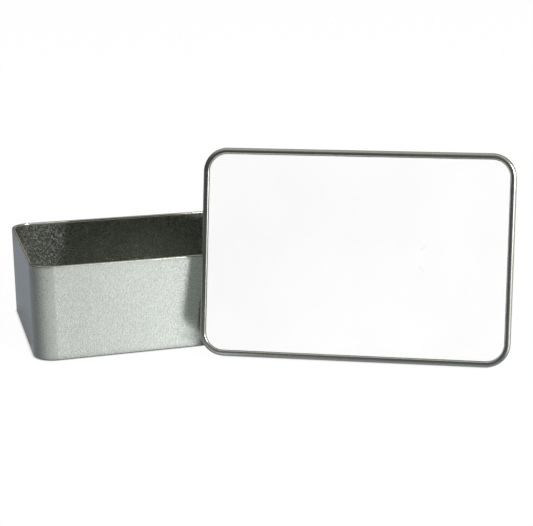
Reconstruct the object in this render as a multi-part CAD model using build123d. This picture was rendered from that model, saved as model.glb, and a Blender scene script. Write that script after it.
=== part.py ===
from build123d import *
import os
from math import cos, hypot, radians, sin

# Rectangular slip-lid tin. The box stands on the floor and its lid, taken off, stands in front
# of it on one long side, face outwards, leaning back on the top edge of the box.
# Row frame: X along the box, Y from front to back, Z up from the floor, and the origin on the
# floor under the middle of the space that box and lid take up together.

# ---------------------------------------------------------------- driving dimensions, mm and degrees
sheet = 0.28            # tinplate, in every folded wall
fold_play = 0.05        # air between two layers of a fold

box_length = 190.0      # outside of the wall, along X
box_width = 128.4       # outside of the wall, along Y
box_height = 61.2       # floor to the top of the rolled edge
box_corner = 14.0       # outside radius of the upright corners
edge_roll = 1.9         # diameter of the roll along the top edge
edge_roll_turn = 255.0  # how far the sheet turns in that roll

foot_bend = 1.0         # outside radius where the wall turns in under the box
foot_reach = 4.3        # from the wall's outside to the end of the fold under the box
foot_side_play = 0.2    # between the wall and the fold of the bottom

floor_ledge = 3.0       # level border of the bottom, inside the fold
floor_bend = 0.8        # middle radius of the two bends that lower the bottom inside that border
floor_bend_angle = 50.0  # slope between those bends
floor_lap = 0.5         # how far the border's section reaches into the flat bottom

seam_width = 4.5        # width of the lock seam that joins the two ends of the wall
seam_place = 52.0       # middle of that seam on the back wall, from the middle of the box
seam_step_angle = 45.0  # slope of the step that takes one end of the wall behind the other
seam_notch = 1.2        # the seam stops this far from the roll above and from the fold below

lid_depth = 16.2        # crest of the rim to the open edge
lid_slip = 0.3          # air between the lid's hem and the box, on each side
hem_height = 3.0        # height of the hem inside the open edge
shoulder_radius = 2.0   # outside radius from the lid's side to the crest
crest_flat = 0.8        # level part of the crest
crest_inner_radius = 0.9  # radius on the panel's side of the crest
crest_drop = 0.1        # straight part of the step down from the crest
seat_radius = 0.15      # hollow radius between that step and the seat
seat_lap = 1.0          # how far the rim's section reaches into the flat seat

panel_sheet = 0.5       # coated face panel
panel_play = 0.15       # between the panel's edge and the rim
panel_edge_radius = 0.12  # rounding of the panel's front edge
tape_sheet = 0.15       # adhesive sheet behind the panel
tape_inset = 1.5        # the adhesive stops this far inside the panel's edge

lid_yaw = -25.6         # turn of the standing lid about Z, from the box's front
lid_lean = 11.7         # how far the lid leans back from upright
lid_stand = 10.4        # left end of the lid's standing edge, from the middle of the box
lean_gap = 0.3          # between the lid's open edge and the roll that it leans on

# ---------------------------------------------------------------- sizes that follow
layer = sheet + fold_play                       # from one layer of a fold to the next
hem = sheet + layer                             # thickness of the lid's hem
lid_over = hem + lid_slip                       # lid's outside beyond the box's, on each side
lid_length = box_length + 2 * lid_over
lid_width = box_width + 2 * lid_over
lid_corner = box_corner + lid_over
rim_foot = shoulder_radius + crest_flat + crest_inner_radius + seat_radius
seat_depth = crest_inner_radius + crest_drop + seat_radius
panel_inset = rim_foot + panel_play


def level(number):
    """Middle of a layer in a fold; layer 0 is the outermost or the lowest."""
    return sheet / 2 + number * layer


def bent_sheet(start, heading, *steps):
    """Section of a bent sheet that begins at start and heads off at heading degrees.

    A step (length,) runs straight, and a step (radius, turn) bends, to the left if turn is
    positive. Radii and points are those of the middle of the sheet.
    """
    point = Vector(*start)
    direction = Vector(cos(radians(heading)), sin(radians(heading)))
    section = Sketch()
    for step in steps:
        if len(step) == 1:
            edge = Line(point, point + direction * step[0])
        else:
            edge = JernArc(point, direction, radius=step[0], arc_size=step[1])
        section += trace(edge, sheet)
        point, direction = edge @ 1, edge % 1
    return section


def ring(section, length, width, corner):
    """Carry a section round a rounded rectangle. In the section, x is the distance inwards
    from the rectangle and y is the height."""
    path = RectangleRounded(length, width, corner).wire()
    tangent = path % 0
    inward = Vector(0, 0, 1).cross(tangent)
    if inward.dot(path @ 0) > 0:
        inward, tangent = -inward, -tangent
    return sweep(Plane(origin=path @ 0, x_dir=inward, z_dir=tangent) * section, path=path)


def slab(length, width, corner, inset, bottom, thickness):
    """Flat plate inside a rounded rectangle, by inset on every side."""
    outline = RectangleRounded(length - 2 * inset, width - 2 * inset, corner - inset)
    return Pos(0, 0, bottom) * extrude(outline, thickness)


# ---------------------------------------------------------------- box: wall
def make_base_wall():
    """One strip of sheet bent round the box, rolled inwards along the top and folded round the
    edge of the bottom, with its two ends hooked into each other in a lock seam."""
    hook_end = 2 * sheet + foot_side_play + layer
    fold_middle = foot_reach - sheet / 2 - layer
    section = bent_sheet(
        (hook_end, level(2)), 0,
        (fold_middle - hook_end,),
        (layer, -180),
        (fold_middle - foot_bend,),
        (foot_bend - sheet / 2, -90),
        (box_height - foot_bend - edge_roll / 2,),
        (edge_roll / 2 - sheet / 2, -edge_roll_turn),
    )
    wall = ring(section, box_length, box_width, box_corner)

    half = seam_width / 2
    step_radius = level(3) - level(0)
    step_radius /= 2 * (1 - cos(radians(seam_step_angle)))
    step_run = 2 * step_radius * sin(radians(seam_step_angle))
    seam_bottom = level(3) + sheet / 2 + seam_notch
    seam_top = box_height - edge_roll - seam_notch
    seam_height = seam_top - seam_bottom
    fold_centre = half - layer - sheet / 2

    # The end that comes from the right stays flush outside and hooks back at its tip.
    flush_end = bent_sheet(
        (half, level(0)), 180,
        (half + fold_centre,),
        (layer, -180),
        (2 * fold_centre - fold_play,),
    )
    # The end that comes from the left steps in behind it and hooks forward.
    stepped_end = bent_sheet(
        (-half - step_run, level(0)), 0,
        (step_radius, seam_step_angle),
        (step_radius, -seam_step_angle),
        (half + fold_centre,),
        (layer, -180),
        (2 * fold_centre - fold_play,),
    )
    window = Pos(-step_run / 2, level(0)) * Rectangle(seam_width + step_run, 2 * sheet)
    seam_plane = Plane(origin=(seam_place, box_width / 2, seam_top), x_dir=(1, 0, 0), z_dir=(0, 0, -1))
    wall -= extrude(seam_plane * window, seam_height)
    wall += extrude(seam_plane * flush_end, seam_height)
    wall += extrude(seam_plane * stepped_end, seam_height)
    return wall


# ---------------------------------------------------------------- box: bottom
def make_base_bottom():
    """Pressed bottom plate, a little lower inside a level border. Its edge turns down and back
    inwards, inside the wall's fold."""
    fold_middle = sheet + foot_side_play + sheet / 2 + layer
    hook_end = foot_reach - 2 * sheet - layer
    step_drop = 2 * floor_bend * (1 - cos(radians(floor_bend_angle)))
    step_run = 2 * floor_bend * sin(radians(floor_bend_angle))
    step_start = foot_reach + floor_ledge
    section = bent_sheet(
        (hook_end, level(1)), 180,
        (hook_end - fold_middle,),
        (layer, -180),
        (step_start - fold_middle,),
        (floor_bend, -floor_bend_angle),
        (floor_bend, floor_bend_angle),
        (floor_lap,),
    )
    border = ring(section, box_length, box_width, box_corner)
    inset = step_start + step_run + floor_lap
    plate = slab(box_length, box_width, box_corner, inset, level(3) - sheet / 2 - step_drop, sheet)
    return border + plate


# ---------------------------------------------------------------- lid, face up, crest at height 0
def make_lid_shell():
    """Pressed lid: hemmed side, rounded raised rim and a flat seat inside the rim."""
    hem_middle = layer / 2
    turn_height = -lid_depth + hem_middle + sheet / 2
    section = bent_sheet(
        (level(1), turn_height + hem_height), -90,
        (hem_height,),
        (hem_middle, -180),
        (-shoulder_radius - turn_height,),
        (shoulder_radius - sheet / 2, -90),
        (crest_flat,),
        (crest_inner_radius - sheet / 2, -90),
        (crest_drop,),
        (seat_radius + sheet / 2, 90),
        (seat_lap,),
    )
    rim = ring(section, lid_length, lid_width, lid_corner)
    seat = slab(lid_length, lid_width, lid_corner, rim_foot + seat_lap, -seat_depth - sheet, sheet)
    return rim + seat


def make_tape():
    """Adhesive sheet between the seat and the panel."""
    inset = panel_inset + tape_inset
    return slab(lid_length, lid_width, lid_corner, inset, -seat_depth, tape_sheet)


def make_panel():
    """Coated face panel that lies inside the rim."""
    bottom = tape_sheet - seat_depth
    panel = slab(lid_length, lid_width, lid_corner, panel_inset, bottom, panel_sheet)
    front_edge = panel.faces().sort_by(Axis.Z)[-1].edges()
    return fillet(front_edge, panel_edge_radius)


# ---------------------------------------------------------------- where the lid stands
def standing_lid():
    """Place of the lid: its hem stands on the floor and its left side leans on the box."""
    turn = Rot(Z=lid_yaw) * Rot(X=90 - lid_lean)
    hem_radius = hem / 2
    # The middle line of the hem along the left side, which is the one that meets the roll.
    side_line = (turn * Pos(hem_radius - lid_length / 2, 0, hem_radius - lid_depth)).position
    foot_line = (turn * Pos(0, hem_radius - lid_width / 2, hem_radius - lid_depth)).position
    height = hem_radius - foot_line.Z

    # Distance from that line to the middle of the roll, seen along the box's front edge.
    up = Vector(0, cos(radians(lid_yaw)) * sin(radians(lid_lean)), cos(radians(lid_lean)))
    across = Vector(0, -up.Z, up.Y) / hypot(up.Y, up.Z)
    roll_middle = Vector(0, (edge_roll - box_width) / 2, box_height - edge_roll / 2)
    distance = edge_roll / 2 + hem_radius + lean_gap
    rise = side_line.Z + height - roll_middle.Z
    forward = roll_middle.Y + (distance - across.Z * rise) / across.Y - side_line.Y

    corner = (turn * Pos(-lid_length / 2, -lid_width / 2, -lid_depth)).position
    return Pos(lid_stand - corner.X, forward, height) * turn


lid_place = standing_lid()
nodes = {
    "base_wall": make_base_wall(),
    "base_bottom": make_base_bottom(),
    "lid_shell": lid_place * make_lid_shell(),
    "adhesive_sheet": lid_place * make_tape(),
    "lid_panel": lid_place * make_panel(),
}

outline = Compound(children=[node.solid() for node in nodes.values()]).bounding_box()
to_origin = Pos(-outline.center().X, -outline.center().Y, -outline.min.Z)

os.makedirs("parts", exist_ok=True)
for name, node in nodes.items():
    export_step(to_origin * node.solid(), f"parts/{name}.step")
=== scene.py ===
from math import ceil, cos, radians, sin

import bmesh
import bpy
from mathutils import Matrix, Vector, noise


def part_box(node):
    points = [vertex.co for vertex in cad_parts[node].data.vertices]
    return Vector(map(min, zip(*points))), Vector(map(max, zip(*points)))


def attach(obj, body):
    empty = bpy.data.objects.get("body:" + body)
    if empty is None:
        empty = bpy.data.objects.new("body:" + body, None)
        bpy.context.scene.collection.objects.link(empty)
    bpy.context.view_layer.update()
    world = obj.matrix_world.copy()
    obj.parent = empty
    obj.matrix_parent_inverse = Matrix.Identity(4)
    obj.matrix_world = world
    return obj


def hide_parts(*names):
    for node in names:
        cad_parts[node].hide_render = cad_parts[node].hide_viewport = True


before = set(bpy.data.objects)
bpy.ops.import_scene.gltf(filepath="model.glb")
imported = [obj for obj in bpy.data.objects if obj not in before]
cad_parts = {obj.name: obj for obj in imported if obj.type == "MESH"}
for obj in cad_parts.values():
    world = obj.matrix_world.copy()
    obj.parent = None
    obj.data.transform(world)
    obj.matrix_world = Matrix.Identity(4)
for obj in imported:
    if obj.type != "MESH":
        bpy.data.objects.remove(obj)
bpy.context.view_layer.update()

# ---------------------------------------------------------------- sizes, in metres and degrees
MM = 0.001
SHEET = 0.28 * MM           # tinplate
FOLD_PLAY = 0.05 * MM       # air between two layers of a fold
LAYER = SHEET + FOLD_PLAY   # from one layer of a fold to the next
HEM = SHEET + LAYER         # thickness of the lid's hem

BOX_CORNER = 14.0 * MM      # outside radius of the box's upright corners
EDGE_ROLL = 1.9 * MM        # diameter of the roll along the top edge
EDGE_ROLL_TURN = 255        # how far round the roll goes
FOOT_BEND = 1.0 * MM        # outside radius where the wall turns in under the box
FOOT_REACH = 4.3 * MM       # from the wall's outside to the end of the fold under the box
FOOT_SIDE_PLAY = 0.2 * MM   # between the wall and the fold of the bottom
FLOOR_LEDGE = 3.0 * MM      # level border of the bottom
FLOOR_BEND = 0.8 * MM       # middle radius of the two bends inside that border
FLOOR_BEND_ANGLE = 50       # slope between the border and the lower middle of the bottom

SEAM_WIDTH = 4.5 * MM       # lock seam in the back wall
SEAM_PLACE = 52.0 * MM      # middle of the seam, from the middle of the box
SEAM_STEP_ANGLE = 45        # slope of the step that lets one end of the wall hook the other
SEAM_NOTCH = 1.2 * MM       # the seam stops this far from the roll above and the fold below

LID_DEPTH = 16.2 * MM       # crest of the rim to the open edge
LID_SLIP = 0.3 * MM         # air between the lid's hem and the box
LID_CORNER = BOX_CORNER + HEM + LID_SLIP
HEM_HEIGHT = 3.0 * MM
SHOULDER_RADIUS = 2.0 * MM  # outside, where the lid's side turns into the crest of its rim
CREST_FLAT = 0.8 * MM       # level top of the rim
CREST_INNER_RADIUS = 0.9 * MM
CREST_DROP = 0.1 * MM       # upright run from the crest's inner bend down to the seat
SEAT_RADIUS = 0.15 * MM     # inside, where the rim meets the seat of the panel
SEAT_DEPTH = CREST_INNER_RADIUS + CREST_DROP + SEAT_RADIUS

PANEL_SHEET = 0.5 * MM
PANEL_PLAY = 0.15 * MM      # between the panel's edge and the rim
PANEL_EDGE_RADIUS = 0.12 * MM
PANEL_EDGE_STEPS = 5
TAPE_SHEET = 0.15 * MM      # adhesive sheet under the panel
PANEL_INSET = SHOULDER_RADIUS + CREST_FLAT + CREST_INNER_RADIUS + SEAT_RADIUS + PANEL_PLAY

LID_YAW = -25.6             # turn of the standing lid about Z
LID_LEAN = 11.7             # how far it leans back from upright

SEAT_PAINTED_SHADE = 0.5            # shade painted where the rim meets its seat; 1 is as dark as the tin gets

ARC_STEP = 12               # degrees between two points of an arc
RUN_STEP = 5.0 * MM         # length of a face along a straight
EDGE_STEP = 0.4 * MM        # the first face of a straight, beside a bend
CORNER_STEPS = 16           # faces round an upright corner
CORNER_LEAST = 3.0 * MM     # radius of the innermost corners of a flat plate's face loops
PLATE_CORE = 9.0 * MM       # half the width of the innermost face loop of a plate

WAVE_DEPTH = 0.09 * MM      # how far the thin walls wander from flat
WAVE_LENGTH = 42.0 * MM
WAVE_MARGIN = 9.0 * MM      # the wandering dies out this near a corner, a roll or a fold
WAVE_START = Vector((3.1, 0.4, 1.7))    # where in the noise the waves are taken from

MERGE_DISTANCE = 0.0005 * MM
SHARP_ANGLE = 38            # an edge that turns further than this is shaded sharp

# ---------------------------------------------------------------- the photograph's camera
IMAGE_WIDTH = 533           # pixels
FOCAL_PIXELS = 1162.86
CAMERA_PLACE = Vector((-0.21363, -0.70958, 0.24534))
CAMERA_HEADING = 17.54      # degrees, from +Y towards +X
CAMERA_PITCH = 14.77        # downwards
CAMERA_ROLL = -0.11
SENSOR_WIDTH = 36           # millimetres
CLIP_START = 0.05


# ---------------------------------------------------------------- sections of bent sheet
def level(number):
    """Middle of a layer in a fold; layer 0 is the outermost or the lowest."""
    return SHEET / 2 + number * LAYER


def run_marks(length):
    """Distances along a straight run where a face ends, closer together at its two ends."""
    if length < 4 * EDGE_STEP:
        return [length]
    inner = length - 2 * EDGE_STEP
    count = ceil(inner / RUN_STEP)
    return [EDGE_STEP + inner * n / count for n in range(count + 1)] + [length]


def bent_line(start, heading, *steps):
    """Middle line of a bent sheet, as (point, heading in radians).

    A step (length,) runs straight, and a step (radius, turn) bends, to the left if turn is
    positive.
    """
    point, angle = Vector(start), radians(heading)
    line = [(point, angle)]
    for step in steps:
        if len(step) == 1:
            ahead = Vector((cos(angle), sin(angle)))
            line += [(point + ahead * mark, angle) for mark in run_marks(step[0])]
        else:
            radius, turn = step[0], radians(step[1])
            side = radius if turn > 0 else -radius
            centre = point + side * Vector((-sin(angle), cos(angle)))
            count = max(2, ceil(abs(step[1]) / ARC_STEP))
            for n in range(1, count + 1):
                now = angle + turn * n / count
                line.append((centre - side * Vector((-sin(now), cos(now))), now))
            angle += turn
        point = line[-1][0]
    return line


def two_sides(line):
    """The left side of a bent sheet from start to end, and the right side back again."""
    half = SHEET / 2
    left = [p + half * Vector((-sin(a), cos(a))) for p, a in line]
    right = [p - half * Vector((-sin(a), cos(a))) for p, a in line]
    return left + right[::-1]


# ---------------------------------------------------------------- loops round a rounded rectangle
def side_marks(half, extra=()):
    """Places along a side that runs from -half to half, with one at its middle."""
    inner = half - EDGE_STEP
    count = ceil(inner / RUN_STEP)
    places = {inner * n / count for n in range(-count, count + 1)}
    return sorted(places | {-half, half} | set(extra))


class Track:
    """Closed path round a rounded rectangle, with the same stations at every inset."""

    def __init__(self, length, width, corner, extra=()):
        self.length, self.width, self.corner = length, width, corner
        half_x, half_y = length / 2 - corner, width / 2 - corner
        self.long_marks = [x / half_x for x in side_marks(half_x, extra)]
        self.short_marks = [y / half_y for y in side_marks(half_y)]

    def loop(self, inset):
        """Points at that inset, anticlockwise from the middle of the +X side."""
        corner = max(self.corner - inset, CORNER_LEAST)
        reach_x, reach_y = self.length / 2 - inset, self.width / 2 - inset
        half_x, half_y = reach_x - corner, reach_y - corner
        sides = (
            [Vector((reach_x, half_y * m)) for m in self.short_marks],
            [Vector((-half_x * m, reach_y)) for m in self.long_marks],
            [Vector((-reach_x, -half_y * m)) for m in self.short_marks],
            [Vector((half_x * m, -reach_y)) for m in self.long_marks],
        )
        points = []
        for number, side in enumerate(sides):
            points += side
            centre = Vector((
                half_x if number in (0, 3) else -half_x,
                half_y if number < 2 else -half_y,
            ))
            for step in range(1, CORNER_STEPS):
                angle = radians(90 * (number + step / CORNER_STEPS))
                points.append(centre + corner * Vector((cos(angle), sin(angle))))
        middle = len(self.short_marks) // 2
        return points[middle:] + points[:middle]

    def plate_insets(self, start):
        """Insets of the loops that carry a flat plate from start to its core."""
        end = self.width / 2 - PLATE_CORE
        count = ceil((end - start) / RUN_STEP)
        return [start + (end - start) * n / count for n in range(1, count + 1)]


def loft(bm, track, outline, closed, shade_and_wear=None, shape=None, skip=None):
    """Faces round a track through the outline, whose points are (inset, height).

    One function of (inset, height) says how much shade is painted on the surface and how
    rubbed it is. shape moves a point of it.
    skip(row, column) leaves a face out. An outline that isn't closed gets a flat core over its
    first and its last loop.
    """
    # darkening painted on the tin where it lies in shade
    painted_shade = bm.verts.layers.float.new("painted_shade")
    rubbed = bm.verts.layers.float.new("rubbed")
    rows = []
    for inset, height in outline:
        points = [Vector((p.x, p.y, height)) for p in track.loop(inset)]
        if shape:
            points = [shape(p) for p in points]
        rows.append([bm.verts.new(p) for p in points])
        if shade_and_wear:
            for vert in rows[-1]:
                vert[painted_shade], vert[rubbed] = shade_and_wear(inset, height)
    count = len(rows[0])
    for row in range(len(rows) if closed else len(rows) - 1):
        here, there = rows[row], rows[(row + 1) % len(rows)]
        for column in range(count):
            following = (column + 1) % count
            if not (skip and skip(row, column)):
                bm.faces.new((here[column], here[following], there[following], there[column]))
    if not closed:
        for loop in (rows[0], rows[-1]):
            bm.faces.new((loop[0], loop[1], loop[-1]))
            for n in range(1, count // 2 - 1):
                bm.faces.new((loop[n], loop[n + 1], loop[count - n - 1], loop[count - n]))
            bm.faces.new((loop[count // 2 - 1], loop[count // 2], loop[count // 2 + 1]))
    return rows


def bent_plate(track, line, shade_and_wear=None):
    """A bent edge round the track, whose line runs on inwards as a flat plate."""
    end = line[-1][0]
    line = line + [(Vector((inset, end.y)), 0) for inset in track.plate_insets(end.x)]
    outline = two_sides(line)
    half = len(line)
    bm = bmesh.new()
    loft(bm, track, outline[half:] + outline[:half], False, shade_and_wear)
    return bm


def finished(bm, name, material, place=None):
    """Object made of bm, smooth except across its sharp edges."""
    bmesh.ops.remove_doubles(bm, verts=bm.verts, dist=MERGE_DISTANCE)
    bmesh.ops.recalc_face_normals(bm, faces=bm.faces)
    mesh = bpy.data.meshes.new(name)
    bm.to_mesh(mesh)
    bm.free()
    if place:
        mesh.transform(place)
    mesh.shade_smooth()
    mesh.set_sharp_from_angle(angle=radians(SHARP_ANGLE))
    mesh.materials.append(material)
    piece = bpy.data.objects.new(name, mesh)
    bpy.context.scene.collection.objects.link(piece)
    return piece


# ---------------------------------------------------------------- the box
box_low, box_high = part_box("base_wall")
box_size = box_high - box_low
box_middle = (box_low + box_high) / 2
box_place = Matrix.Translation((box_middle.x, box_middle.y, box_low.z))


def fade(distance, margin):
    """0 at distance 0, 1 from margin on, and smooth between."""
    share = min(max(distance / margin, 0), 1)
    return share * share * (3 - 2 * share)


def wandering(point):
    """A point of the box wall, moved inwards a little as thin sheet does between stiff edges."""
    from_end = box_size.x / 2 - abs(point.x)
    from_side = box_size.y / 2 - abs(point.y)
    along = max(from_end, from_side) - BOX_CORNER
    stiff = min(point.z, box_size.z - point.z - EDGE_ROLL)
    share = fade(along, WAVE_MARGIN) * fade(stiff, WAVE_MARGIN)
    wave = 0.5 + 0.5 * noise.noise(point / WAVE_LENGTH + WAVE_START)
    depth = WAVE_DEPTH * wave * share
    if from_side < from_end:
        return point - Vector((0, depth if point.y > 0 else -depth, 0))
    return point - Vector((depth if point.x > 0 else -depth, 0, 0))


def wall_shade_and_wear(inset, height):
    """Shade painted under the foot, and a rubbed roll."""
    # painted shade: darker towards the floor over the foot bend
    painted_shade = 1 - fade(height - FOOT_BEND / 2, FOOT_BEND / 2)
    rubbed = fade(height - box_size.z + 2 * EDGE_ROLL, EDGE_ROLL)
    return painted_shade, rubbed


def strip(bm, line, bottom, top):
    """Bent sheet that runs upright; its section is (x, distance inwards from the back wall)."""
    marks = [bottom] + [bottom + mark for mark in run_marks(top - bottom)]
    outline = two_sides(line)
    back = box_size.y / 2
    rows = [[bm.verts.new((SEAM_PLACE + p.x, back - p.y, z)) for p in outline] for z in marks]
    count = len(outline)
    for here, there in zip(rows, rows[1:]):
        for n in range(count - 1):
            bm.faces.new((here[n], here[n + 1], there[n + 1], there[n]))
    for row in (rows[0], rows[-1]):
        for n in range(count // 2 - 1):
            bm.faces.new((row[n], row[n + 1], row[count - 2 - n], row[count - 1 - n]))


def make_wall(material):
    """The wall, with its roll, its fold under the bottom and its lock seam.

    At the seam the wall's faces are left out, and two hooked strips take their place.
    """
    hook_end = 2 * SHEET + FOOT_SIDE_PLAY + LAYER
    fold_middle = FOOT_REACH - SHEET / 2 - LAYER
    seam_bottom = level(3) + SHEET / 2 + SEAM_NOTCH
    seam_top = box_size.z - EDGE_ROLL - SEAM_NOTCH
    seam_height = seam_top - seam_bottom
    below = bent_line(
        (hook_end, level(2)), 0,
        (fold_middle - hook_end,),
        (LAYER, -180),
        (fold_middle - FOOT_BEND,),
        (FOOT_BEND - SHEET / 2, -90),
        (seam_bottom - FOOT_BEND,),
    )
    beside = bent_line(below[-1][0], 90, (seam_height,))
    above = bent_line(
        beside[-1][0], 90,
        (box_size.z - EDGE_ROLL / 2 - seam_top,),
        (EDGE_ROLL / 2 - SHEET / 2, -EDGE_ROLL_TURN),
    )
    line = below + beside[1:] + above[1:]
    outline = two_sides(line)

    half = SEAM_WIDTH / 2
    step_radius = 3 * LAYER / (2 * (1 - cos(radians(SEAM_STEP_ANGLE))))
    step_run = 2 * step_radius * sin(radians(SEAM_STEP_ANGLE))
    window = (SEAM_PLACE - half - step_run, SEAM_PLACE + half)
    track = Track(box_size.x, box_size.y, BOX_CORNER, window + tuple(-x for x in window))
    seam_rows = range(len(below) - 1, len(below) + len(beside) - 2)
    around = track.loop(0)
    middles = [(p + q) / 2 for p, q in zip(around, around[1:] + around[:1])]
    across = {n for n, m in enumerate(middles) if window[0] < m.x < window[1] and m.y > 0}

    def in_window(row, column):
        return column in across and (row in seam_rows or len(outline) - 2 - row in seam_rows)

    bm = bmesh.new()
    rows = loft(bm, track, outline, True, wall_shade_and_wear, wandering, in_window)
    for row in (seam_rows[0], seam_rows[-1] + 1):
        outer, inner = rows[row], rows[len(outline) - 1 - row]
        for n in sorted(across):
            bm.faces.new((outer[n], outer[n + 1], inner[n + 1], inner[n]))

    fold_centre = half - LAYER - SHEET / 2
    hooked = ((half + fold_centre,), (LAYER, -180), (2 * fold_centre - FOLD_PLAY,))
    turn = ((step_radius, SEAM_STEP_ANGLE), (step_radius, -SEAM_STEP_ANGLE))
    strip(bm, bent_line((half, level(0)), 180, *hooked), seam_bottom, seam_top)
    strip(bm, bent_line((-half - step_run, level(0)), 0, *turn, *hooked), seam_bottom, seam_top)
    return finished(bm, "wall", material, box_place)


def make_bottom(material):
    """The bottom, with its edge folded round the wall's fold."""
    fold_middle = SHEET + FOOT_SIDE_PLAY + SHEET / 2 + LAYER
    hook_end = FOOT_REACH - 2 * SHEET - LAYER
    line = bent_line(
        (hook_end, level(1)), 180,
        (hook_end - fold_middle,),
        (LAYER, -180),
        (FOOT_REACH + FLOOR_LEDGE - fold_middle,),
        (FLOOR_BEND, -FLOOR_BEND_ANGLE),
        (FLOOR_BEND, FLOOR_BEND_ANGLE),
    )
    track = Track(box_size.x, box_size.y, BOX_CORNER)
    return finished(bent_plate(track, line), "bottom", material, box_place)


# ---------------------------------------------------------------- the lid, face up, crest at 0
lid_reach = HEM + LID_SLIP  # from the box's outside to the lid's
lid_track = Track(box_size.x + 2 * lid_reach, box_size.y + 2 * lid_reach, LID_CORNER)


def rim_line():
    """Middle line of the lid's hem, side, shoulder, crest and inner slope, as far as the seat."""
    turn_height = -LID_DEPTH + LAYER / 2 + SHEET / 2
    return bent_line(
        (level(1), turn_height + HEM_HEIGHT), -90,
        (HEM_HEIGHT,),
        (LAYER / 2, -180),
        (-SHOULDER_RADIUS - turn_height,),
        (SHOULDER_RADIUS - SHEET / 2, -90),
        (CREST_FLAT,),
        (CREST_INNER_RADIUS - SHEET / 2, -90),
        (CREST_DROP,),
        (SEAT_RADIUS + SHEET / 2, 90),
    )


def rim_shade_and_wear(inset, height):
    """Shade painted where the rim meets its seat, and a rubbed shoulder and crest."""
    # painted shade, from the seat's bend inwards
    seat = fade(inset - SHOULDER_RADIUS - CREST_FLAT - CREST_INNER_RADIUS, SEAT_RADIUS)
    rubbed = fade(height + 2 * SHOULDER_RADIUS, SHOULDER_RADIUS) * (1 - seat)
    return SEAT_PAINTED_SHADE * seat, rubbed


def make_panel():
    """The face panel, with its upper edge rounded."""
    bottom = TAPE_SHEET - SEAT_DEPTH
    top = bottom + PANEL_SHEET
    outline = [Vector((inset, bottom)) for inset in lid_track.plate_insets(PANEL_INSET)[::-1]]
    outline.append(Vector((PANEL_INSET, bottom)))
    outline.append(Vector((PANEL_INSET, top - PANEL_EDGE_RADIUS)))
    for n in range(1, PANEL_EDGE_STEPS + 1):
        angle = radians(90 * n / PANEL_EDGE_STEPS)
        outline.append(Vector((
            PANEL_INSET + PANEL_EDGE_RADIUS * (1 - cos(angle)),
            top - PANEL_EDGE_RADIUS * (1 - sin(angle)),
        )))
    start = PANEL_INSET + PANEL_EDGE_RADIUS + EDGE_STEP
    outline.append(Vector((start, top)))
    outline += [Vector((inset, top)) for inset in lid_track.plate_insets(start)]
    bm = bmesh.new()
    loft(bm, lid_track, outline, False)
    return bm


def middle_of(points):
    """Middle of the box round the points."""
    low = [min(p[axis] for p in points) for axis in range(3)]
    high = [max(p[axis] for p in points) for axis in range(3)]
    return (Vector(low) + Vector(high)) / 2


def lid_place(bm):
    """Where the lid stands: it is turned as the CAD lid is, and its box has the same middle."""
    turn = Matrix.Rotation(radians(90 - LID_LEAN), 4, "X")
    turn = Matrix.Rotation(radians(LID_YAW), 4, "Z") @ turn
    low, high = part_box("lid_shell")
    middle = middle_of([turn @ vert.co for vert in bm.verts])
    return Matrix.Translation((low + high) / 2 - middle) @ turn


# ---------------------------------------------------------------- materials
CLOUD_SCALE = 18            # noise scales are per metre
CLOUD_FROM = (0.35, 0.65)   # noise values between which a surface goes from dark to light
PEEL_SCALE = 900            # orange peel
PEEL_DETAIL = 3.0
PEEL_ROUGHNESS = 0.6
PEEL_DEPTH = 0.06 * MM
GRAIN_SCALE = 1700          # grains of the tin, which are mirror or satin
SPECK_SCALE = 1100          # specks in its colour
FINE_DETAIL = 1.0
TIN_CLOUD = 0.3             # share of the broad clouds in the tin's brightness
SATIN_FROM = (0.50, 0.66)   # noise values between which a grain turns from mirror to satin
SATIN_PATCH = 0.35          # how far the satin grains crowd in patches
TIN_BRIGHT = (0.705, 0.735, 0.697, 1)
TIN_DULL = (0.585, 0.61, 0.583, 1)
# colour of the tin where shade is painted on it
TIN_PAINTED_SHADE = (0.28, 0.29, 0.26, 1)
TIN_ROUGHNESS = (0.15, 0.375)
RUBBED_ROUGHNESS = 0.27
PAINTED_SHADE_ROUGHNESS = 0.25      # what full painted shade adds
WHITE_LOW = (0.93, 0.93, 0.935, 1)
WHITE_HIGH = (0.95, 0.95, 0.955, 1)
WHITE_ROUGHNESS = 0.42
WHITE_PEEL_DEPTH = 0.006 * MM
ADHESIVE_LOW = (0.80, 0.79, 0.74, 1)
ADHESIVE_HIGH = (0.88, 0.87, 0.83, 1)
ADHESIVE_ROUGHNESS = 0.8


def node(tree, kind, settings=None, **inputs):
    """Adds a node. An input is a value, or the socket that it comes from; _ stands for a space."""
    made = tree.nodes.new("ShaderNode" + kind)
    for name, value in (settings or {}).items():
        setattr(made, name, value)
    for name, value in inputs.items():
        key = int(name[1:]) if name[0] == "i" and name[1:].isdigit() else name.replace("_", " ")
        if isinstance(value, bpy.types.NodeSocket):
            tree.links.new(value, made.inputs[key])
        else:
            made.inputs[key].default_value = value
    return made.outputs


def calc(tree, operation, *values):
    """A Math node's result."""
    inputs = {f"i{n}": value for n, value in enumerate(values)}
    return node(tree, "Math", {"operation": operation}, **inputs)[0]


def dot(tree, vector, along):
    """How far a vector reaches along another."""
    return node(tree, "VectorMath", {"operation": "DOT_PRODUCT"}, i0=vector, i1=along)["Value"]


def ramp(tree, value, start, end, low, high):
    """Smooth step of value from low, at start, to high, at end."""
    return node(
        tree, "MapRange", {"interpolation_type": "SMOOTHSTEP"},
        Value=value, From_Min=start, From_Max=end, To_Min=low, To_Max=high,
    )[0]


def mixed(tree, factor, first, second):
    """The first colour at factor 0, the second at 1."""
    inputs = {"i0": factor, "i6": first, "i7": second}
    return node(tree, "Mix", {"data_type": "RGBA"}, **inputs)[2]


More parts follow.
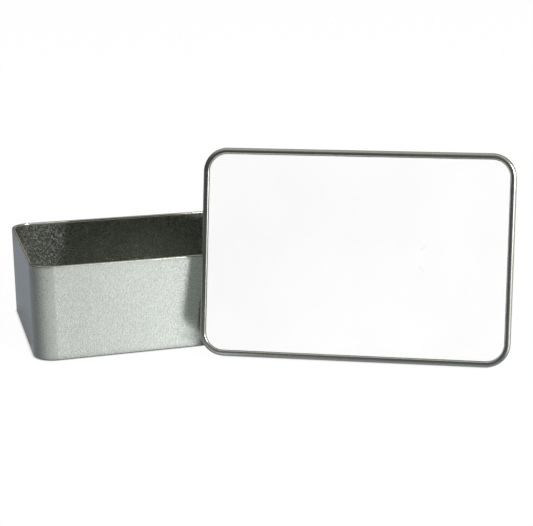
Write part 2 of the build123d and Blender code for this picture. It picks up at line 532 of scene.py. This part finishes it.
def stops(tree, value, colours):
    """Colour ramp through (value, colour)."""
    made = tree.nodes.new("ShaderNodeValToRGB")
    tree.links.new(value, made.inputs[0])
    elements = made.color_ramp.elements
    for number, (place, colour) in enumerate(colours):
        if number >= len(elements):
            elements.new(place)
        elements[number].position = place
        elements[number].color = colour
    return made.outputs[0]


def grain(tree, place, scale, detail=2.0, roughness=0.5):
    """Noise from 0 to 1, with that many grains in a metre."""
    return node(
        tree, "TexNoise", Vector=place, Scale=scale, Detail=detail, Roughness=roughness,
    )[0]


def new_material(name):
    """Material, its node tree, its shader, and places on the object."""
    material = bpy.data.materials.new(name)
    material.use_nodes = True
    tree = material.node_tree
    shader = tree.nodes["Principled BSDF"]
    return material, tree, shader, node(tree, "TexCoord")["Object"]


def make_tinplate():
    """Bright tinplate: a slightly green-grey metal of fine mirror and satin grains.

    It has a faint orange peel, which is rubbed smooth at the tight bends. Its colour is painted
    darker as shade at the box's foot and where the lid's rim meets its seat.
    """
    material, tree, shader, place = new_material("tinplate")
    # shade painted at the box's foot and in the lid's seat, from the mesh
    painted_shade = node(tree, "Attribute", {"attribute_name": "painted_shade"})["Fac"]
    rubbed = node(tree, "Attribute", {"attribute_name": "rubbed"})["Fac"]
    cloud = calc(tree, "MULTIPLY", grain(tree, place, CLOUD_SCALE), TIN_CLOUD)
    speck = grain(tree, place, SPECK_SCALE, FINE_DETAIL)
    shine = calc(tree, "MULTIPLY_ADD", speck, 1 - TIN_CLOUD, cloud)
    colour = mixed(tree, ramp(tree, shine, *CLOUD_FROM, 0, 1), TIN_DULL, TIN_BRIGHT)
    colour = mixed(tree, painted_shade, colour, TIN_PAINTED_SHADE)
    tree.links.new(colour, shader.inputs["Base Color"])
    shader.inputs["Metallic"].default_value = 1
    patch = grain(tree, place, PEEL_SCALE)
    patch = calc(tree, "MULTIPLY_ADD", patch, SATIN_PATCH, -SATIN_PATCH / 2)
    satin = calc(tree, "ADD", grain(tree, place, GRAIN_SCALE, FINE_DETAIL), patch)
    rough = ramp(tree, satin, *SATIN_FROM, *TIN_ROUGHNESS)
    rough = node(tree, "Mix", i0=rubbed, i2=rough, i3=RUBBED_ROUGHNESS)[0]
    rough = calc(tree, "MULTIPLY_ADD", painted_shade, PAINTED_SHADE_ROUGHNESS, rough)
    tree.links.new(rough, shader.inputs["Roughness"])
    peel = grain(tree, place, PEEL_SCALE, PEEL_DETAIL, PEEL_ROUGHNESS)
    unrubbed = calc(tree, "SUBTRACT", 1.0, rubbed)
    bump = node(tree, "Bump", Strength=unrubbed, Distance=PEEL_DEPTH, Height=peel)
    tree.links.new(bump[0], shader.inputs["Normal"])
    return material


def make_white():
    """Blank white coating, slightly glossy and almost flat."""
    material, tree, shader, place = new_material("white_coating")
    cloud = ramp(tree, grain(tree, place, CLOUD_SCALE), *CLOUD_FROM, 0, 1)
    colour = mixed(tree, cloud, WHITE_LOW, WHITE_HIGH)
    tree.links.new(colour, shader.inputs["Base Color"])
    shader.inputs["Roughness"].default_value = WHITE_ROUGHNESS
    peel = grain(tree, place, PEEL_SCALE)
    bump = node(tree, "Bump", Strength=1.0, Distance=WHITE_PEEL_DEPTH, Height=peel)
    tree.links.new(bump[0], shader.inputs["Normal"])
    return material


def make_adhesive():
    """Pale, dull adhesive sheet, which lies unseen between panel and seat."""
    material, tree, shader, place = new_material("adhesive")
    colour = mixed(tree, grain(tree, place, PEEL_SCALE), ADHESIVE_LOW, ADHESIVE_HIGH)
    tree.links.new(colour, shader.inputs["Base Color"])
    shader.inputs["Roughness"].default_value = ADHESIVE_ROUGHNESS
    return material


tinplate = make_tinplate()
white = make_white()
adhesive = make_adhesive()


# ---------------------------------------------------------------- pieces
def settle(piece, body, node):
    """The piece rides on that body and stands for that CAD node."""
    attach(piece, body)
    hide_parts(node)


settle(make_wall(tinplate), "base", "base_wall")
settle(make_bottom(tinplate), "base", "base_bottom")
shell = bent_plate(lid_track, rim_line(), rim_shade_and_wear)
place = lid_place(shell)
settle(finished(shell, "lid", tinplate, place), "lid", "lid_shell")
settle(finished(make_panel(), "panel", white, place), "lid", "lid_panel")
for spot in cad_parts["adhesive_sheet"].material_slots:
    spot.material = adhesive


# ---------------------------------------------------------------- floor, light and camera
FLOOR_SIZE = 24
FLOOR_WHITE = (0.93, 0.93, 0.93, 1)
FLOOR_SEEN = (1.02, 1.02, 1.02, 1)
FLOOR_GLOW = 0.96           # share of FLOOR_SEEN in what the camera sees of the floor
FLOOR_SHADOW = (0.30, 0.30, 0.31, 1)
FLOOR_SHADOW_SEEN = 1.6 * MM        # how near the tin the floor darkens, to the camera
FLOOR_SHADOW_MIRRORED = 11 * MM     # and as the metal mirrors it
FLOOR_SHADOW_SAMPLES = 8
FLOOR_FAR = (0.32, 0.45)    # metres to the front, where the far black card sets in
LID_AHEAD = (-0.432, -0.902, 0)     # level direction that the lid's face looks in
CARD_AHEAD = 5              # per metre of that direction, for CARD_AND_SHADE_COLOURS
# The stops up to 0.28 are painted shade on the floor: black where lid and box shut it in, bluish
# grey just before the lid's foot. From 0.40 on lies a dark card.
CARD_AND_SHADE_COLOURS = (            # along it: 0 and less is from the part's middle on backwards
    (0.00, (0.03, 0.03, 0.03, 1)),
    (0.19, (0.03, 0.03, 0.03, 1)),
    (0.22, (0.30, 0.32, 0.34, 1)),
    (0.28, (0.30, 0.32, 0.34, 1)),
    (0.40, (0.08, 0.085, 0.08, 1)),
    (1.00, (0.08, 0.085, 0.08, 1)),
)
CARD_ASIDE = (1, 0.33, 0)   # direction across the left edge of the strip of painted shade and card
CARD_START = (-0.050, -0.040)       # where along it the strip sets in
CARD_END = (0.13, 0.17)     # where along X it ends

# The studio's ramps are (start, end, value at start, value at end) along one axis of the
# direction that a mirrored ray goes in; those called TOP fade with height.
STUDIO_DIM = (0.052, 0.054, 0.053)
STUDIO_ABOVE = (0.45, 0.95, 0, 0.44)
STUDIO_RIGHT = (0.2, 0.75, 0, 1.3)
STUDIO_RIGHT_TOP = (0.10, 0.28, 1, 0)
STUDIO_BEHIND = (0.75, 0.92, 0, 0.6)
STUDIO_BEHIND_TOP = (0.08, 0.20, 1, 0)
STUDIO_TINT = (1.10, 1.0, 0.86)
STUDIO_HORIZON = (-0.03, 0.0)
STUDIO_ROUND = (            # what lies below the horizon, once round from behind over the left
    (0.00, (0.28, 0.30, 0.333, 1)),
    (0.06, (0.235, 0.25, 0.266, 1)),
    (0.21, (0.186, 0.19, 0.187, 1)),
    (0.28, (0.274, 0.28, 0.276, 1)),
    (0.39, (0.53, 0.542, 0.534, 1)),
    (0.44, (0.60, 0.615, 0.605, 1)),
    (0.49, (0.64, 0.655, 0.645, 1)),
    (0.52, (0.635, 0.65, 0.637, 1)),
    (0.56, (1.88, 1.92, 1.88, 1)),
    (0.60, (1.35, 1.38, 1.35, 1)),
    (0.70, (0.391, 0.4, 0.394, 1)),
    (1.00, (0.293, 0.3, 0.295, 1)),
)
ROUND_TURN = 90             # degrees that bring the start of STUDIO_ROUND behind
SOFT_LIGHT = (0.25, 0.255, 0.27, 1)
WHITE = (1, 1, 1, 1)


def make_camera():
    """The camera that took the photograph."""
    data = bpy.data.cameras.new("camera")
    data.sensor_width = SENSOR_WIDTH
    data.lens = data.sensor_width * FOCAL_PIXELS / IMAGE_WIDTH
    data.clip_start = CLIP_START
    camera = bpy.data.objects.new("camera", data)
    bpy.context.scene.collection.objects.link(camera)
    bpy.context.scene.camera = camera
    heading, pitch, roll = (radians(a) for a in (CAMERA_HEADING, CAMERA_PITCH, CAMERA_ROLL))
    ahead = Vector((sin(heading) * cos(pitch), cos(heading) * cos(pitch), -sin(pitch)))
    level_right = Vector((cos(heading), -sin(heading), 0))
    right = level_right * cos(roll) + level_right.cross(ahead) * sin(roll)
    camera.matrix_world = Matrix.Translation(CAMERA_PLACE) @ Matrix(
        (right, right.cross(ahead), -ahead)
    ).transposed().to_4x4()


def make_floor():
    """Pale floor, white to the camera apart from a soft shadow close to the tin.

    Metal mirrors that shadow, a black card far to the front, and a strip that starts before the
    lid's face and runs on behind the box. On that strip the floor is painted dark as shade, black
    behind the lid's foot and bluish grey just before it, and a dark card lies further ahead.
    Elsewhere a mirrored ray passes through the floor to the lower half of the studio.
    """
    bpy.ops.mesh.primitive_plane_add(size=FLOOR_SIZE)
    floor = bpy.context.object
    floor.name = "floor"
    material, tree, shader, place = new_material("floor")
    floor.data.materials.append(material)
    tree.nodes.remove(shader)
    path = node(tree, "LightPath")
    mirrored = path["Is Glossy Ray"]

    ahead = calc(tree, "MULTIPLY", dot(tree, place, LID_AHEAD), CARD_AHEAD)
    # painted shade and a dark card on the floor, seen only in mirrored rays
    card = stops(tree, ahead, CARD_AND_SHADE_COLOURS)
    from_left = ramp(tree, dot(tree, place, CARD_ASIDE), *CARD_START, 0, 1)
    to_right = ramp(tree, dot(tree, place, (1, 0, 0)), *CARD_END, 1, 0)
    far = ramp(tree, dot(tree, place, (0, -1, 0)), *FLOOR_FAR, 0, 1)
    # where the floor shows painted shade or a card to the metal
    on_card_and_shade = calc(tree, "MAXIMUM", calc(tree, "MULTIPLY", from_left, to_right), far)

    reach = node(tree, "Mix", i0=mirrored, i2=FLOOR_SHADOW_SEEN, i3=FLOOR_SHADOW_MIRRORED)[0]
    samples = {"samples": FLOOR_SHADOW_SAMPLES}
    close = node(tree, "AmbientOcclusion", samples, Distance=reach)["AO"]
    glow = mixed(tree, mirrored, FLOOR_SEEN, card)
    glow = node(tree, "Emission", Color=mixed(tree, close, FLOOR_SHADOW, glow))[0]
    paper = node(tree, "BsdfDiffuse", Color=mixed(tree, close, FLOOR_SHADOW, FLOOR_WHITE))[0]
    share = calc(tree, "MULTIPLY", path["Is Camera Ray"], FLOOR_GLOW)
    share = calc(tree, "MAXIMUM", share, mirrored)
    surface = node(tree, "MixShader", i0=share, i1=paper, i2=glow)[0]

    passing = calc(tree, "MULTIPLY", close, calc(tree, "SUBTRACT", 1.0, on_card_and_shade))
    passing = calc(tree, "MULTIPLY", passing, mirrored)
    clear = node(tree, "BsdfTransparent")[0]
    surface = node(tree, "MixShader", i0=passing, i1=surface, i2=clear)[0]
    tree.links.new(surface, tree.nodes["Material Output"].inputs["Surface"])


def make_world():
    """White to the camera, an even soft light for dull surfaces, and a studio for the metal.

    Above the horizon the studio is dim, with a low bright part on the right, a lower one behind
    and a half bright one overhead. Below it, where a mirrored ray arrives through the floor, it
    changes only with the direction round the object.
    """
    world = bpy.data.worlds.new("studio")
    bpy.context.scene.world = world
    world.use_nodes = True
    tree = world.node_tree
    path = node(tree, "LightPath")
    towards = node(tree, "TexCoord")["Generated"]
    direction = node(tree, "SeparateXYZ", Vector=towards)
    height = direction["Z"]

    bright = ramp(tree, height, *STUDIO_ABOVE)
    for along, side, top in (
        (direction["X"], STUDIO_RIGHT, STUDIO_RIGHT_TOP),
        (direction["Y"], STUDIO_BEHIND, STUDIO_BEHIND_TOP),
    ):
        part = calc(tree, "MULTIPLY", ramp(tree, along, *side), ramp(tree, height, *top))
        bright = calc(tree, "ADD", bright, part)
    scaled = {"operation": "MULTIPLY_ADD"}
    upper = node(tree, "VectorMath", scaled, i0=STUDIO_TINT, i1=bright, i2=STUDIO_DIM)[0]

    around = node(tree, "Mapping", Vector=towards, Rotation=(0, 0, radians(ROUND_TURN)))[0]
    around = node(tree, "TexGradient", {"gradient_type": "RADIAL"}, Vector=around)["Fac"]
    lower = stops(tree, around, STUDIO_ROUND)

    studio = mixed(tree, ramp(tree, height, *STUDIO_HORIZON, 1, 0), upper, lower)
    colour = mixed(tree, path["Is Glossy Ray"], SOFT_LIGHT, studio)
    colour = mixed(tree, path["Is Camera Ray"], colour, WHITE)
    tree.links.new(colour, tree.nodes["Background"].inputs["Color"])


def make_lamp(name, heading, height, distance, size, power, colour):
    """Square lamp that looks at the object; heading is in degrees from the front to the right."""
    heading, height = radians(heading), radians(height)
    towards = Vector((sin(heading) * cos(height), -cos(heading) * cos(height), sin(height)))
    data = bpy.data.lights.new(name, "AREA")
    data.size = size
    data.energy = power
    data.color = colour
    lamp = bpy.data.objects.new(name, data)
    bpy.context.scene.collection.objects.link(lamp)
    lamp.location = towards * distance
    lamp.rotation_mode = "QUATERNION"
    lamp.rotation_quaternion = towards.to_track_quat("Z", "Y")


make_camera()
make_floor()
make_world()
make_lamp(
    "key", heading=27.5, height=21.3, distance=8.0, size=0.18, power=645,
    colour=(1, 0.985, 0.96),
)
bpy.context.scene.view_settings.view_transform = "Standard"
